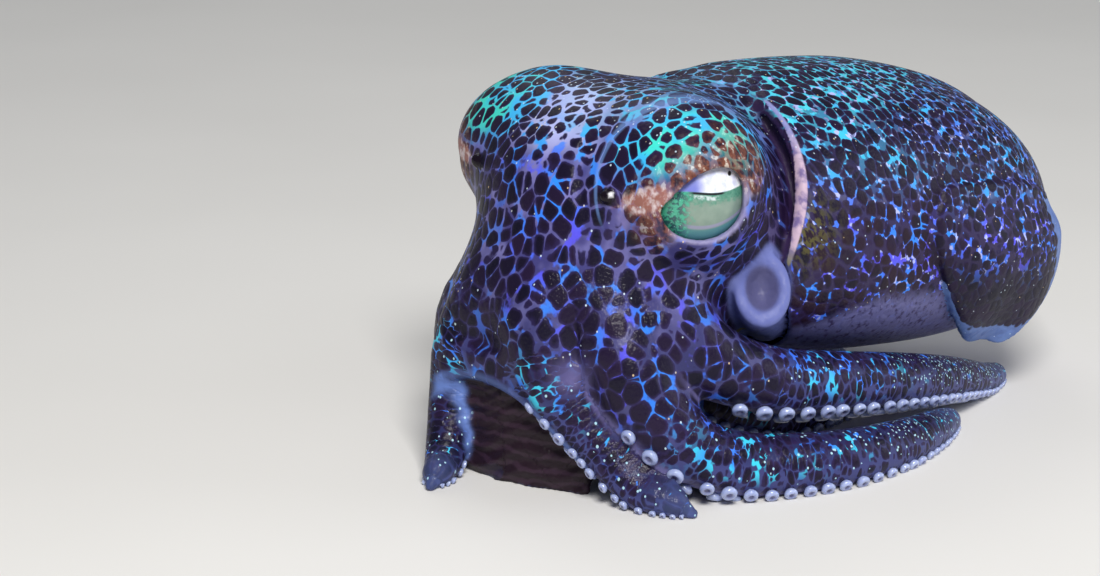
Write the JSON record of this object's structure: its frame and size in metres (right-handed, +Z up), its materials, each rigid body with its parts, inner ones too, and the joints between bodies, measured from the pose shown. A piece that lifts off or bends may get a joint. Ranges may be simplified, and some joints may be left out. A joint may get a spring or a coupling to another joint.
{
  "type": "bobtail squid model",
  "caption": "Small round-bodied bobtail squid sitting on its folded arms, with bulging eyes, a side fin on each flank, a funnel beside the head and rows of suckers.",
  "frame": {"origin": "centre of the bounding box at floor level, where the arms rest", "axes": "+X from the head towards the tail end of the mantle, +Y to the animal's right, +Z up"},
  "size_m": [0.0604, 0.0376, 0.0285],
  "materials": {
    "skin": "wet gloss, dark purple brown cells in an iridescent blue net",
    "arm_skin": "wet gloss, dark cells and blue bars, pale bluish suckers",
    "fin_skin": "wet gloss, dark with a clear blue margin",
    "funnel_skin": "wet, pale blue lavender",
    "eye": "wet, clear cornea over a green and silver iris"
  },
  "bodies": {
    "root": {"mantle": "skin", "head": "skin", "arm_crown": "arm_skin", "funnel": "funnel_skin", "eye_left": "eye", "eye_right": "eye", "fin_left": "fin_skin", "fin_right": "fin_skin", "arm_left_1_base": "arm_skin", "arm_left_1_tip": "arm_skin", "arm_left_2_base": "arm_skin", "arm_left_2_tip": "arm_skin", "arm_left_3_base": "arm_skin", "arm_left_3_tip": "arm_skin", "arm_left_4_base": "arm_skin", "arm_left_4_tip": "arm_skin", "arm_right_1_base": "arm_skin", "arm_right_1_tip": "arm_skin", "arm_right_2_base": "arm_skin", "arm_right_2_tip": "arm_skin", "arm_right_3_base": "arm_skin", "arm_right_3_tip": "arm_skin", "arm_right_4_base": "arm_skin", "arm_right_4_tip": "arm_skin"}
  },
  "joints": []
}
